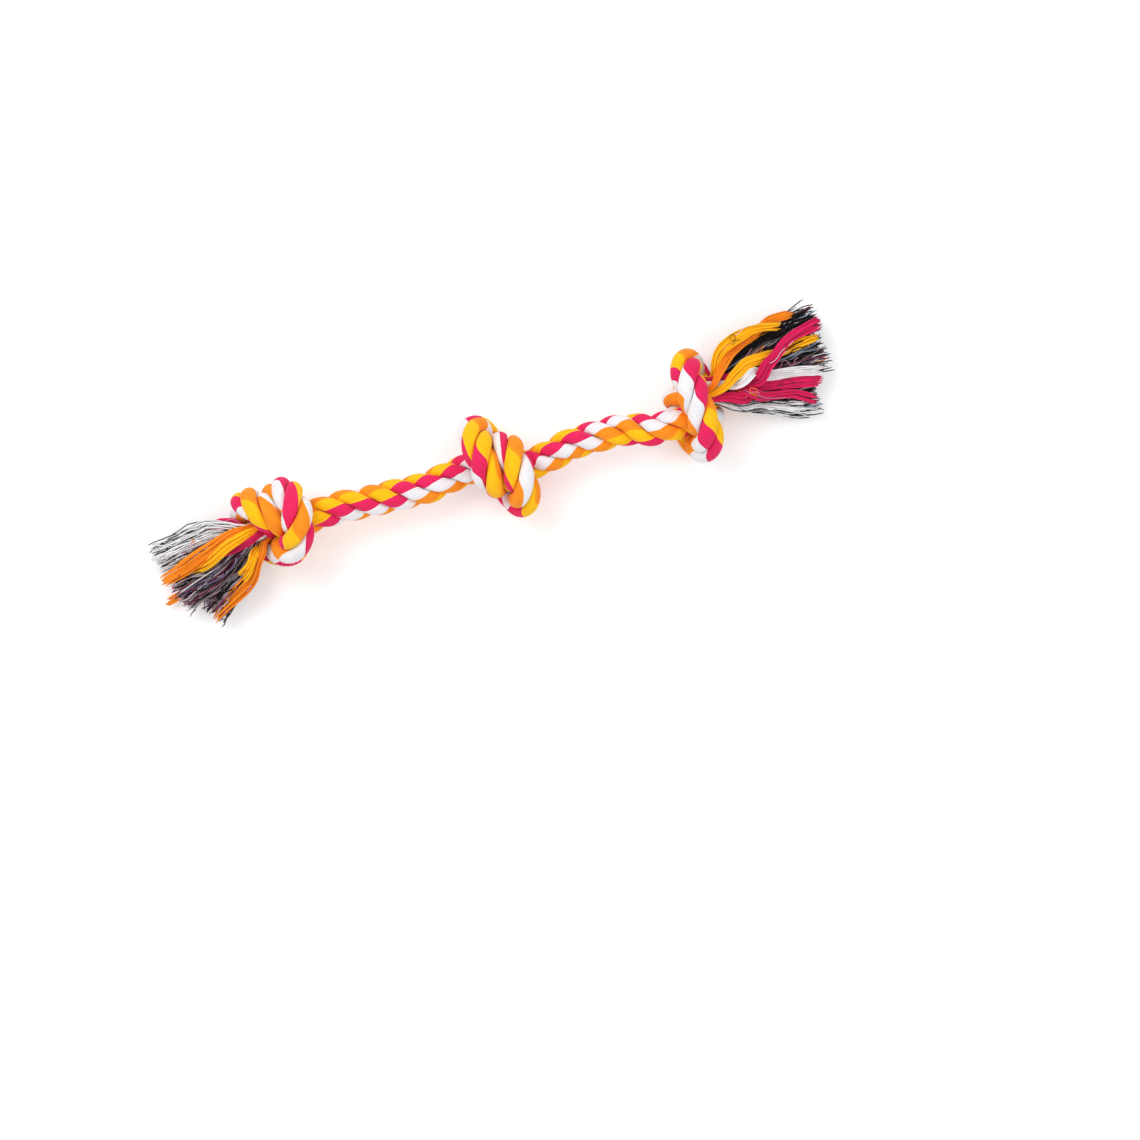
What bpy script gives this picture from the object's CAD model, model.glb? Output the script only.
"""A rope dog toy: one three-strand cotton rope with three overhand knots and a frayed tassel at each end.

The toy lies on the floor z = 0, in metres. +X runs from the left tassel to the right one and +Z is up.
"""

import logging
import math
from dataclasses import dataclass
from enum import Enum

import bmesh
import bpy
import numpy as np
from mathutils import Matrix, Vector


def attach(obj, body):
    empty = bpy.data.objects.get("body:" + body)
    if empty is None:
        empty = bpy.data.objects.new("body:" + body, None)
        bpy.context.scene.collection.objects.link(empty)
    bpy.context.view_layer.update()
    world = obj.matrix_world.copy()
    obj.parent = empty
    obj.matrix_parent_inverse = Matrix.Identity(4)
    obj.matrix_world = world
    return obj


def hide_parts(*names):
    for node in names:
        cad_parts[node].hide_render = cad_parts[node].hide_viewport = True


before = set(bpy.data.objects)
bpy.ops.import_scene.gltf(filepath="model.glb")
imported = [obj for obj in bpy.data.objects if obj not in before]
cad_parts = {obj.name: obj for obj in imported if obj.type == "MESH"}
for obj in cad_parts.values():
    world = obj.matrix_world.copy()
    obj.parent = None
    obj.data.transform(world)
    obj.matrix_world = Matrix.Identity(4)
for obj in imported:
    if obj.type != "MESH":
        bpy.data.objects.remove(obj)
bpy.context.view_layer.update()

log = logging.getLogger("rope_dog_toy")

MM = 0.001
UP = np.array([0.0, 0.0, 1.0])
TURN = 2 * math.pi
YARN_MAP = "yarn"
COVER_YARNS = 28  # yarns round a strand
SAME_PLACE = 0.0005 * MM  # how near two points are one
TIP_SIZE = 0.6  # a yarn's radius at its cut end, as a share of its radius
MAP_MARGIN = 0.01  # keeps a yarn's map clear of the next yarn's
BUMP_STRENGTH = 0.5  # how strongly the fibres' relief shows
NAP_ROUGHNESS = 0.45  # how matte the sheen of the nap is
COTTON_GLOSS = 0.2  # cotton's own reflection


class YarnColour(Enum):
    """The yarns of a strand: its four cover groups, in their order round it, and its core."""

    ORANGE = "orange"
    YELLOW = "yellow"
    MAGENTA = "magenta"
    WHITE = "white"
    CORE = "core"


class Side(Enum):
    """The two ends of the rope."""

    LEFT = "left"
    RIGHT = "right"


# ---------------------------------------------------------------------------------------------- lines


def respaced(points: np.ndarray, count: int) -> np.ndarray:
    """Space points evenly along a line.

    Args:
        points: The corners of the line, one row each.
        count: How many points to return.

    Returns:
        The evenly spaced points.
    """
    reach = np.concatenate([[0.0], np.cumsum(np.linalg.norm(np.diff(points, axis=0), axis=1))])
    at = np.linspace(0.0, reach[-1], count)
    return np.stack([np.interp(at, reach, points[:, k]) for k in range(points.shape[1])], 1)


def line_length(points: np.ndarray) -> float:
    """Return the length of a line of points."""
    return float(np.linalg.norm(np.diff(points, axis=0), axis=1).sum())


def straighten(points: np.ndarray, share: float) -> None:
    """Move each inner point, in place, a share of the way to the middle of its neighbours."""
    points[1:-1] += share * ((points[:-2] + points[2:]) / 2 - points[1:-1])


def smooth_step(t: np.ndarray) -> np.ndarray:
    """Ease a share between 0 and 1 in and out."""
    return t * t * (3 - 2 * t)


def unit(vectors: np.ndarray) -> np.ndarray:
    """Return the vectors at length one."""
    return vectors / np.linalg.norm(vectors, axis=-1, keepdims=True)


def steady_frames(points: np.ndarray) -> tuple[np.ndarray, np.ndarray, np.ndarray]:
    """Carry a frame along a line without turning it about the line.

    Args:
        points: The line.

    Returns:
        The direction, the normal and the side at every point.
    """
    along = np.concatenate([points[1:2] - points[:1], points[2:] - points[:-2], points[-1:] - points[-2:-1]])
    along = unit(along)
    normal = [unit(UP - (UP @ along[0]) * along[0])]
    for i in range(1, len(points)):
        step = points[i] - points[i - 1]
        turned = normal[-1] - 2 * (step @ normal[-1]) / (step @ step) * step
        ahead = along[i - 1] - 2 * (step @ along[i - 1]) / (step @ step) * step
        swing = along[i] - ahead
        if swing @ swing > 0:
            turned = turned - 2 * (swing @ turned) / (swing @ swing) * swing
        normal.append(turned)
    normals = np.array(normal)
    return along, normals, np.cross(along, normals)


def level_frames(lines: np.ndarray) -> tuple[np.ndarray, np.ndarray]:
    """Return the level direction across lines, and the upward one, at every point."""
    along = unit(np.gradient(lines, axis=-2))
    across = unit(np.cross(np.broadcast_to(UP, along.shape), along))
    return across, np.cross(along, across)


def places_along(points: np.ndarray, shares: np.ndarray) -> tuple[np.ndarray, np.ndarray]:
    """Return the places at shares of an evenly spaced line, and the number of the point before each."""
    at = shares * (len(points) - 1)
    before = np.minimum(at.astype(int), len(points) - 2)
    part = (at - before)[:, None]
    return points[before] * (1 - part) + points[before + 1] * part, before


# --------------------------------------------------------------------------------------------- meshes


def added(name: str, data: bpy.types.ID) -> bpy.types.Object:
    """Return a new object in the scene that shows the data."""
    new = bpy.data.objects.new(name, data)
    bpy.context.scene.collection.objects.link(new)
    return new


def rolled_grid(work: bmesh.types.BMesh, rings: np.ndarray) -> None:
    """Roll a grid up into a tube and add it to the work.

    Args:
        work: The mesh in work. Its active UV layer gets 0 to 1 round the tube and 0 to 1 along it.
        rings: The points of the tube, ring by ring, each ring closed by its first point.
    """
    count, around = rings.shape[:2]
    first = len(work.verts)
    bmesh.ops.create_grid(work, x_segments=around - 1, y_segments=count - 1, size=1.0, calc_uvs=True)
    work.verts.ensure_lookup_table()
    for vertex, place in zip(work.verts[first:], rings.reshape(-1, 3).tolist()):
        vertex.co = place


def finished_piece(name: str, work: bmesh.types.BMesh, material: bpy.types.Material) -> bpy.types.Object:
    """Close the work and turn it into a piece that rides on the toy's one body.

    Args:
        name: The piece's name.
        work: The mesh in work, which is freed.
        material: The piece's material.

    Returns:
        The new object.
    """
    bmesh.ops.remove_doubles(work, verts=work.verts, dist=SAME_PLACE)
    bmesh.ops.holes_fill(work, edges=[e for e in work.edges if e.is_boundary], sides=0)
    bmesh.ops.recalc_face_normals(work, faces=work.faces)
    for face in work.faces:
        face.smooth = True
    mesh = bpy.data.meshes.new(name)
    work.to_mesh(mesh)
    work.free()
    mesh.materials.append(material)
    piece = added(name, mesh)
    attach(piece, "root")
    return piece


def yarn_map(piece: bpy.types.Object) -> np.ndarray:
    """Return a piece's yarn map: a row for each corner, with the place round the yarns and along them."""
    layer = piece.data.uv_layers[YARN_MAP]
    values = np.empty(2 * len(layer.uv), dtype=np.float32)
    layer.uv.foreach_get("vector", values)
    return values.reshape(-1, 2)


def set_yarn_map(piece: bpy.types.Object, values: np.ndarray) -> None:
    """Write a piece's yarn map."""
    piece.data.uv_layers[YARN_MAP].uv.foreach_set("vector", values.ravel())


def yarn_piece(
    name: str, lines: np.ndarray, radius: float, sides: int, material: bpy.types.Material
) -> bpy.types.Object:
    """Make a piece of separate yarns.

    Args:
        name: The piece's name.
        lines: The line of each yarn.
        radius: The radius of a yarn.
        sides: Its number of sides.
        material: The piece's material.

    Returns:
        The piece. Its yarn map holds the yarn's number and the place round it, and the place along it.
    """
    count = lines.shape[1]
    across, rise = level_frames(lines)
    around = TURN * np.arange(sides + 1) / sides
    sizes = np.full(count, radius)
    sizes[-1] *= TIP_SIZE
    ring = np.cos(around)[:, None] * across[:, :, None] + np.sin(around)[:, None] * rise[:, :, None]
    work = bmesh.new()
    work.loops.layers.uv.new(YARN_MAP)
    for tube in lines[:, :, None] + sizes[None, :, None, None] * ring:
        rolled_grid(work, tube)
    piece = finished_piece(name, work, material)
    values = yarn_map(piece)
    corners = 4 * (count - 1) * sides
    for k in range(len(lines)):
        rows = slice(k * corners, (k + 1) * corners)
        values[rows, 0] = k + (1 - 2 * MAP_MARGIN) * values[rows, 0] + MAP_MARGIN
    set_yarn_map(piece, values)
    return piece


# ------------------------------------------------------------------------------------------- finishes


class Recipe:
    """The node tree of one material, written step by step."""

    def __init__(self, name: str) -> None:
        """Start a material of the given name."""
        self.material = bpy.data.materials.new(name)
        self.material.use_nodes = True
        self.tree = self.material.node_tree
        self.shader = self.tree.nodes["Principled BSDF"]

    def step(self, kind: str, inputs: dict[str | int, object], **settings: object) -> bpy.types.Node:
        """Add a node.

        Args:
            kind: The node's type.
            inputs: Values or sockets for its inputs.
            settings: Values for its own settings.

        Returns:
            The new node.
        """
        node = self.tree.nodes.new(kind)
        for key, value in settings.items():
            setattr(node, key, value)
        self.feed(node, inputs)
        return node

    def feed(self, node: bpy.types.Node, inputs: dict[str | int, object]) -> None:
        """Set or link a node's inputs."""
        for key, value in inputs.items():
            if isinstance(value, bpy.types.NodeSocket):
                self.tree.links.new(value, node.inputs[key])
            else:
                node.inputs[key].default_value = value

    def sum(self, operation: str, *values: object) -> bpy.types.NodeSocket:
        """Return the result of a Math node."""
        node = self.step("ShaderNodeMath", dict(enumerate(values)), operation=operation)
        return node.outputs[0]

    def shares(
        self, colour_stops: list[tuple[float, tuple[float, float, float]]], factor: object
    ) -> bpy.types.NodeSocket:
        """Return a colour picked in steps by a factor between 0 and 1."""
        node = self.step("ShaderNodeValToRGB", {0: factor})
        ramp = node.color_ramp
        ramp.interpolation = "CONSTANT"
        while len(ramp.elements) < len(colour_stops):
            ramp.elements.new(0.5)
        for element, (place, colour) in zip(ramp.elements, colour_stops):
            element.position = place
            element.color = (*colour, 1.0)
        return node.outputs[0]

    def yarn_places(self) -> tuple[bpy.types.NodeSocket, bpy.types.NodeSocket]:
        """Return the place round the yarns and the place along them."""
        node = self.step("ShaderNodeUVMap", {}, uv_map=YARN_MAP)
        parts = self.step("ShaderNodeSeparateXYZ", {0: node.outputs[0]})
        return parts.outputs[0], parts.outputs[1]

    def object_place(self) -> bpy.types.NodeSocket:
        """Return the place on the object."""
        return self.step("ShaderNodeTexCoord", {}).outputs["Object"]

    def noise(self, place: bpy.types.NodeSocket, scale: float, detail: float) -> bpy.types.NodeSocket:
        """Return smooth noise of a scale."""
        return self.step("ShaderNodeTexNoise", {"Vector": place, "Scale": scale, "Detail": detail}).outputs[0]

    def lot(self, number: bpy.types.NodeSocket) -> bpy.types.NodeSocket:
        """Return a random value between 0 and 1 for each yarn's number."""
        return self.step("ShaderNodeTexWhiteNoise", {"W": number}, noise_dimensions="1D").outputs["Value"]

    def cotton(
        self,
        dye: bpy.types.NodeSocket,
        value: bpy.types.NodeSocket,
        height: bpy.types.NodeSocket,
        relief: float,
        roughness: float,
        sheen: float,
    ) -> bpy.types.Material:
        """Finish the recipe as dyed cotton.

        Args:
            dye: Its colour.
            value: How bright the dye comes out.
            height: The relief of its fibres.
            relief: How deep that relief is.
            roughness: How matte it is.
            sheen: How much its nap catches the light.

        Returns:
            The finished material.
        """
        bump = self.step("ShaderNodeBump", {"Height": height, "Strength": BUMP_STRENGTH, "Distance": relief})
        colour = self.step("ShaderNodeHueSaturation", {"Color": dye, "Value": value}).outputs[0]
        self.feed(
            self.shader,
            {
                "Base Color": colour,
                "Normal": bump.outputs[0],
                "Roughness": roughness,
                "Sheen Weight": sheen,
                "Sheen Roughness": NAP_ROUGHNESS,
                "Specular IOR Level": COTTON_GLOSS,
            },
        )
        return self.material


def from_screen(red: int, green: int, blue: int) -> tuple[float, float, float]:
    """Return a screen colour of 0 to 255 as linear light, by the sRGB curve."""
    linear = [v / 255 / 12.92 if v <= 10 else ((v / 255 + 0.055) / 1.055) ** 2.4 for v in (red, green, blue)]
    return linear[0], linear[1], linear[2]


DYES = {
    YarnColour.ORANGE: from_screen(250, 146, 28),
    YarnColour.YELLOW: from_screen(255, 194, 16),
    YarnColour.MAGENTA: from_screen(230, 36, 94),
    YarnColour.WHITE: from_screen(240, 238, 241),
}


@dataclass(frozen=True)
class CottonCover:
    """The dyed cotton round a strand: four colour groups, each of several yarns.

    Attributes:
        yarns: The number of yarns round a strand.
        wander: How far the edge of a colour wanders, in turns, and wander_scale how finely.
        lot_spread: How much one yarn's brightness differs from the next.
        patch_spread: How much the brightness differs from patch to patch, and patch_scale how finely.
        darkest: The least brightness.
        fibres: How many fibres lie side by side on a yarn, and fibre_scale how short they are.
        ply_scale: How close the yarns' own twist is, and ply_height how far it stands out beside the fibres.
        relief: The depth of the fibres.
        roughness: How matte the cotton is.
        sheen: How much its nap catches the light.
    """

    yarns: int = COVER_YARNS
    wander: float = 0.016
    wander_scale: float = 260.0
    lot_spread: float = 0.10
    patch_spread: float = 0.16
    patch_scale: float = 90.0
    darkest: float = 0.88
    fibres: float = 3.2
    fibre_scale: float = 260.0
    ply_scale: float = 900.0
    ply_height: float = 0.22
    relief: float = 0.22 * MM
    roughness: float = 0.82
    sheen: float = 0.08

    def material(self) -> bpy.types.Material:
        """Return the material, which reads the strand's yarn map."""
        recipe = Recipe("cotton_cover")
        around, along = recipe.yarn_places()
        place = recipe.object_place()
        wander = recipe.noise(place, self.wander_scale, 2.0)
        edge = recipe.sum("ADD", around, recipe.sum("MULTIPLY_ADD", wander, self.wander, -self.wander / 2))
        stops = [(i / 4, DYES[c]) for i, c in enumerate(list(YarnColour)[:4])]
        dye = recipe.shares(stops, recipe.sum("FRACT", edge))
        yarn = recipe.sum("MULTIPLY", around, float(self.yarns))
        lot = recipe.sum("MULTIPLY", recipe.lot(recipe.sum("FLOOR", yarn)), self.lot_spread)
        patch = recipe.sum("MULTIPLY", recipe.noise(place, self.patch_scale, 3.0), self.patch_spread)
        value = recipe.sum("ADD", recipe.sum("ADD", lot, patch), self.darkest)
        across, ahead = recipe.sum("MULTIPLY", yarn, self.fibres), recipe.sum("MULTIPLY", along, self.fibre_scale)
        fibres = recipe.step("ShaderNodeCombineXYZ", {0: across, 1: ahead}).outputs[0]
        ply = recipe.sum("MULTIPLY_ADD", along, self.ply_scale, recipe.sum("MULTIPLY", yarn, TURN))
        twist = recipe.sum("MULTIPLY", recipe.sum("SINE", ply), self.ply_height)
        height = recipe.sum("ADD", twist, recipe.noise(fibres, 1.0, 4.0))
        return recipe.cotton(dye, value, height, self.relief, self.roughness, self.sheen)


@dataclass(frozen=True)
class LooseCotton:
    """Yarns that have come free of the rope.

    Attributes:
        name: The material's name.
        lots: Screen colours of the yarns, each with the share of the yarns up to it.
        spread: How much one yarn's brightness differs from the next.
        sheen: How much the yarns' nap catches the light.
        plies: Ridges of twist on a yarn from end to end.
        patch_spread: How much the brightness differs from patch to patch, and patch_scale how finely.
        middle: The brightness that the yarns keep about.
        fibre_scale: How fine the fibres are.
        relief: The depth of the twist and the fibres.
        roughness: How matte the cotton is.
    """

    name: str
    lots: tuple[tuple[float, tuple[int, int, int]], ...]
    spread: float = 0.16
    sheen: float = 0.08
    plies: float = 60.0
    patch_spread: float = 0.2
    patch_scale: float = 220.0
    middle: float = 0.9
    fibre_scale: float = 2600.0
    relief: float = 0.15 * MM
    roughness: float = 0.85

    def material(self) -> bpy.types.Material:
        """Return the material, which reads the yarn's number and place from its map."""
        recipe = Recipe(self.name)
        around, along = recipe.yarn_places()
        place = recipe.object_place()
        number = recipe.sum("FLOOR", around)
        stops = [(share, from_screen(*colour)) for share, colour in self.lots]
        dye = recipe.shares(stops, recipe.lot(number))
        lot = recipe.lot(recipe.sum("ADD", number, 0.5))
        patch = recipe.sum("MULTIPLY", recipe.noise(place, self.patch_scale, 2.0), self.patch_spread)
        shade = recipe.sum("MULTIPLY_ADD", lot, self.spread, patch)
        value = recipe.sum("ADD", shade, self.middle - self.spread / 2)
        slant = recipe.sum("MULTIPLY_ADD", along, self.plies, recipe.sum("MULTIPLY", around, 2.0))
        twist = recipe.sum("ABSOLUTE", recipe.sum("SINE", recipe.sum("MULTIPLY", slant, math.pi)))
        height = recipe.sum("ADD", twist, recipe.noise(place, self.fibre_scale, 2.0))
        return recipe.cotton(dye, value, height, self.relief, self.roughness, self.sheen)


RIBBON_FINISHES = {
    YarnColour.ORANGE: LooseCotton("orange_yarn", ((0.0, (248, 140, 24)), (0.7, (252, 156, 34))), 0.24),
    YarnColour.YELLOW: LooseCotton("yellow_yarn", ((0.0, (255, 190, 14)), (0.7, (252, 174, 20))), 0.24),
    YarnColour.MAGENTA: LooseCotton("magenta_yarn", ((0.0, (224, 28, 92)), (0.7, (204, 30, 90))), 0.26),
    YarnColour.WHITE: LooseCotton("white_yarn", ((0.0, (242, 241, 242)), (0.7, (230, 222, 228)))),
}

MIXED_WHITES = LooseCotton(
    "mixed_white_yarn",
    (
        (0.0, (248, 247, 248)),
        (0.54, (226, 226, 230)),
        (0.68, (150, 150, 156)),
        (0.76, (62, 60, 66)),
        (0.86, (18, 17, 20)),
        (0.94, (204, 150, 174)),
    ),
)

CORE_FINISHES = {
    Side.LEFT: LooseCotton(
        "left_core_yarn",
        (
            (0.0, (14, 12, 15)),
            (0.12, (74, 64, 66)),
            (0.25, (136, 116, 114)),
            (0.46, (172, 140, 152)),
            (0.62, (198, 190, 194)),
            (0.76, (146, 56, 98)),
            (0.85, (228, 224, 228)),
            (0.93, (116, 118, 152)),
            (0.985, (120, 120, 66)),
        ),
        spread=0.3,
        sheen=0.03,
    ),
    Side.RIGHT: LooseCotton(
        "right_core_yarn",
        (
            (0.0, (10, 9, 12)),
            (0.38, (44, 40, 43)),
            (0.52, (104, 92, 88)),
            (0.66, (166, 160, 162)),
            (0.77, (150, 168, 188)),
            (0.85, (132, 56, 92)),
            (0.90, (236, 130, 40)),
            (0.94, (228, 224, 230)),
            (0.985, (128, 164, 76)),
        ),
        spread=0.3,
        sheen=0.03,
    ),
}

STRAY_FINISH = LooseCotton(
    "stray_thread",
    (
        (0.0, (248, 140, 24)),
        (0.2, (236, 234, 236)),
        (0.42, (222, 152, 184)),
        (0.6, (170, 190, 206)),
        (0.72, (44, 40, 44)),
        (0.95, (140, 190, 70)),
    ),
)


# ----------------------------------------------------------------------------------------- the rope


@dataclass(frozen=True)
class Knot:
    """One left-hand overhand knot: where it is tied and how it lies.

    Attributes:
        x: Its place along the toy.
        roll: Its turn about the rope, in degrees.
        lean: Its turn in the plane of the floor, in degrees.
        press: How many rounds its turns are pressed together.
        side_share: Side shift of the rope's axis at it, as a share of the rope's diameter.
        height: Height of the rope's axis at it.
    """

    x: float
    roll: float
    lean: float
    press: int
    side_share: float
    height: float


@dataclass(frozen=True)
class Sections:
    """The rope cut into even sections, which its strands and its tassels are laid out on.

    Attributes:
        at: The middle of each section.
        along: The way the rope runs at it.
        normal: The direction that the lay is measured from.
        side: The direction square to both.
        radii: The rope's radius at each section.
        length: The rope's length.
    """

    at: np.ndarray
    along: np.ndarray
    normal: np.ndarray
    side: np.ndarray
    radii: np.ndarray
    length: float


@dataclass
class KnottedRope:
    """The rope's centreline, tied in three overhand knots that are pulled tight.

    Attributes:
        diameter: The rope's own diameter.
        lay_length: The length in which a strand goes once round the rope.
        contact: How near the middles of two turns come in a knot.
        least_bend: The tightest bend of the rope's centreline.
        lead: The rope that is tied on each side of a knot.
        root_reach: How far the rope goes on beyond an end knot's middle.
        toy_middle: The middle of the whole toy before it is moved over the origin.
        end_turn_share: How far round the rope the first strand is at the right end, in turns.
        turn_in_length: The rope over which the strands are turned in to that place.
        strand_gap: The room between two strands.
        sections_per_lay: Sections in one lay.
        knots: The three knots from left to right.
        points: Points on a knot's centreline while it is tied, and rounds the rounds in which it is pulled tight.
        loop_share: How much of its closed curve a loose knot takes up, and loop_points the points on it.
        loop_rise: How far the loop stands off the leads, as a share of contact.
        push: The share of an overlap that two points move apart by, each, in one of the push_passes.
        give: How far a knot straightens in a round of pressing, as a share of the way.
        squeeze: How far a round presses it together, as a share of contact, up to squeeze_reach contacts out.
        hold: How strongly a knot's points keep their distance, and hold_passes how often in a round.
        lean_reach: How far from its middle a knot leans in full, as a share of the rope's diameter, and lean_fade
            the share over which the lean ends.
        side_drop: How far a knot is set aside to centre it on the rope, as such a share.
        knot_reach: How far a knot's own axis goes from its middle, as such a share.
        route_step: The spacing of the centreline's points, as such a share, and route_passes its smoothing.
        beside: Shares of the rope's diameter along it between which another turn can lie beside a section.
    """

    diameter: float = 20 * MM
    lay_length: float = 46 * MM
    contact: float = 0.88 * 20 * MM
    least_bend: float = 0.62 * 0.88 * 20 * MM
    lead: float = 2.55 * 20 * MM
    root_reach: float = 15 * MM
    toy_middle: tuple[float, float] = (-4.06969 * MM, 1.86932 * MM)
    end_turn_share: float = 0.466
    turn_in_length: float = 100 * MM
    strand_gap: float = 0.3 * MM
    sections_per_lay: int = 12
    knots: tuple[Knot, ...] = (
        Knot(-140 * MM, 10, 0, 110, 0.6, 26.88152 * MM),
        Knot(0.0, 85, -13, 190, 0.13, 21.71187 * MM),
        Knot(124 * MM, 276, 16, 260, -0.1, 25.97815 * MM),
    )
    points: int = 80
    rounds: int = 4000
    loop_share: float = 0.84
    loop_points: int = 300
    loop_rise: float = 1.8
    push: float = 0.25
    push_passes: int = 2
    give: float = 0.06
    squeeze: float = 0.005
    squeeze_reach: float = 1.9
    hold: float = 0.25
    hold_passes: int = 6
    lean_reach: float = 0.8
    lean_fade: float = 1.6
    side_drop: float = 0.15
    knot_reach: float = 1.4
    route_step: float = 0.1
    route_passes: int = 3
    beside: tuple[float, float] = (1.5, 14.0)

    def loose_knot(self) -> np.ndarray:
        """Return a left-hand overhand knot before it is pulled, its leads along X."""
        t = np.linspace(self.loop_share * math.pi, -self.loop_share * math.pi, self.loop_points)
        x, y = np.sin(t) + 2 * np.sin(2 * t), np.cos(t) - 2 * np.cos(2 * t) + self.loop_rise
        loop = np.stack([x, y, np.sin(3 * t)], 1)
        ends = np.array([[-self.lead, 0.0, 0.0], [self.lead, 0.0, 0.0]])
        return respaced(np.concatenate([ends[:1], loop * self.contact, ends[1:]]), self.points)

    def part_turns(self, points: np.ndarray, ends: np.ndarray) -> None:
        """Move apart, in place, the points that press on each other.

        Args:
            points: The knot's centreline.
            ends: Its two fixed ends.
        """
        one, other = np.triu_indices(self.points, 2)
        for _ in range(self.push_passes):
            arc = (other - one) * (line_length(points) / (self.points - 1))
            bent = 2 * self.least_bend * np.sin(np.minimum(arc, math.pi * self.least_bend) / (2 * self.least_bend))
            least = np.where(arc < math.pi * self.least_bend, np.minimum(bent, self.contact), self.contact)
            between = points[other] - points[one]
            apart = np.linalg.norm(between, axis=1)
            near = apart < least
            push = between[near] * (self.push * (least[near] - apart[near]) / apart[near])[:, None]
            for k in range(3):
                points[:, k] -= np.bincount(one[near], push[:, k], self.points)
                points[:, k] += np.bincount(other[near], push[:, k], self.points)
            points[[0, -1]] = ends

    def tight_knot(self) -> np.ndarray:
        """Return the left-hand knot pulled tight."""
        points = self.loose_knot()
        ends = points[[0, -1]].copy()
        for _ in range(self.rounds):
            straighten(points, 0.5)
            self.part_turns(points, ends)
        return points

    def pressed(self, points: np.ndarray, rounds: int) -> np.ndarray:
        """Press a tight knot together along the rope.

        Args:
            points: The tight knot.
            rounds: How long it is pressed.

        Returns:
            The pressed knot.
        """
        points = points.copy()
        ends = points[[0, -1]].copy()
        step = line_length(points) / (self.points - 1)
        for _ in range(rounds):
            straighten(points, self.give)
            x = points[:, 0]
            inward = self.squeeze * self.contact * np.sign(x) * np.minimum(np.abs(x) / self.contact, 1)
            points[:, 0] -= np.where(np.abs(x) < self.squeeze_reach * self.contact, inward, 0)
            for _ in range(self.hold_passes):
                link = np.diff(points, axis=0)
                length = np.linalg.norm(link, axis=1, keepdims=True)
                link *= self.hold * (length - step) / length
                points[:-1] += link
                points[1:] -= link
            self.part_turns(points, ends)
        return points

    def placed(self, knot: Knot, tight: np.ndarray) -> np.ndarray:
        """Roll and lean one knot.

        Args:
            knot: The knot.
            tight: The tight left-hand knot.

        Returns:
            Its centreline about its own middle.
        """
        p = self.pressed(tight, knot.press)
        whole, ending = self.lean_reach * self.diameter, self.lean_fade * self.diameter
        fade = 1 - smooth_step(np.clip((np.abs(p[:, 0]) - whole) / ending, 0, 1))
        roll, lean = math.radians(knot.roll), math.radians(knot.lean) * fade
        y = p[:, 1] - self.side_drop * self.diameter * fade
        y, z = y * math.cos(roll) - p[:, 2] * math.sin(roll), y * math.sin(roll) + p[:, 2] * math.cos(roll)
        x, y = p[:, 0] * np.cos(lean) - y * np.sin(lean), p[:, 0] * np.sin(lean) + y * np.cos(lean)
        return np.stack([x, y, z], 1)

    def carried(self, x: np.ndarray, values: list[float]) -> np.ndarray:
        """Carry a value of the rope's axis evenly over the stretch between two knots."""
        margin = self.knot_reach * self.diameter
        places = [knot.x for knot in self.knots]
        stops = [places[0] + margin, places[1] - margin, places[1] + margin, places[2] - margin]
        return np.interp(x, stops, [values[0], values[1], values[1], values[2]])

    def route(self) -> np.ndarray:
        """Return the rope's whole centreline, from the left root to the right root."""
        tight = self.tight_knot()
        stretches = []
        for i, knot in enumerate(self.knots):
            p = self.placed(knot, tight)
            low = (self.knots[i - 1].x - knot.x) / 2 if i > 0 else -self.root_reach
            high = (self.knots[i + 1].x - knot.x) / 2 if i < 2 else self.root_reach
            first = int(np.argmax(p[:, 0] > low))
            last = len(p) - 1 - int(np.argmax(p[::-1, 0] < high))
            stretches.append(p[first : last + 1] + np.array([knot.x, 0.0, 0.0]))
        points = np.concatenate(stretches)
        points[:, 1] += self.carried(points[:, 0], [k.side_share * self.diameter for k in self.knots])
        points[:, 2] += self.carried(points[:, 0], [k.height for k in self.knots])
        count = round(line_length(points) / (self.route_step * self.diameter))
        points = respaced(points, count)
        for _ in range(self.route_passes):
            straighten(points, 0.5)
        return respaced(points, count) - np.array([*self.toy_middle, 0.0])

    def lay_angle(self, reach: np.ndarray | float, length: float) -> np.ndarray | float:
        """Return how far the first strand has gone round the rope at a place along it."""
        missing = self.end_turn_share - length / self.lay_length
        share = smooth_step(np.clip((reach - length + self.turn_in_length) / self.turn_in_length, 0.0, 1.0))
        return TURN * (reach / self.lay_length + (missing - round(missing)) * share)

    def radii(self, at: np.ndarray, length: float) -> np.ndarray:
        """Return the rope's radius at each section: less where another turn of a knot lies against it."""
        step = length / (len(at) - 1)
        skip, window = (math.ceil(share * self.diameter / step) for share in self.beside)
        apart = np.linalg.norm(at[:, None] - at[None], axis=2)
        one, other = np.indices(apart.shape)
        beside = (np.abs(one - other) >= skip) & (other >= one - window) & (other < one + window)
        nearest = np.where(beside, apart, self.diameter + self.strand_gap).min(axis=1)
        room = np.minimum(self.diameter, nearest - self.strand_gap) / 2
        return np.array([room[max(0, i - 2) : i + 3].min() for i in range(len(room))])

    def sections(self) -> Sections:
        """Return the rope cut into even sections."""
        route = self.route()
        length = line_length(route)
        at = respaced(route, round(length / self.lay_length * self.sections_per_lay) + 1)
        along, normal, side = steady_frames(at)
        return Sections(at, along, normal, side, self.radii(at, length), length)


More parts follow.
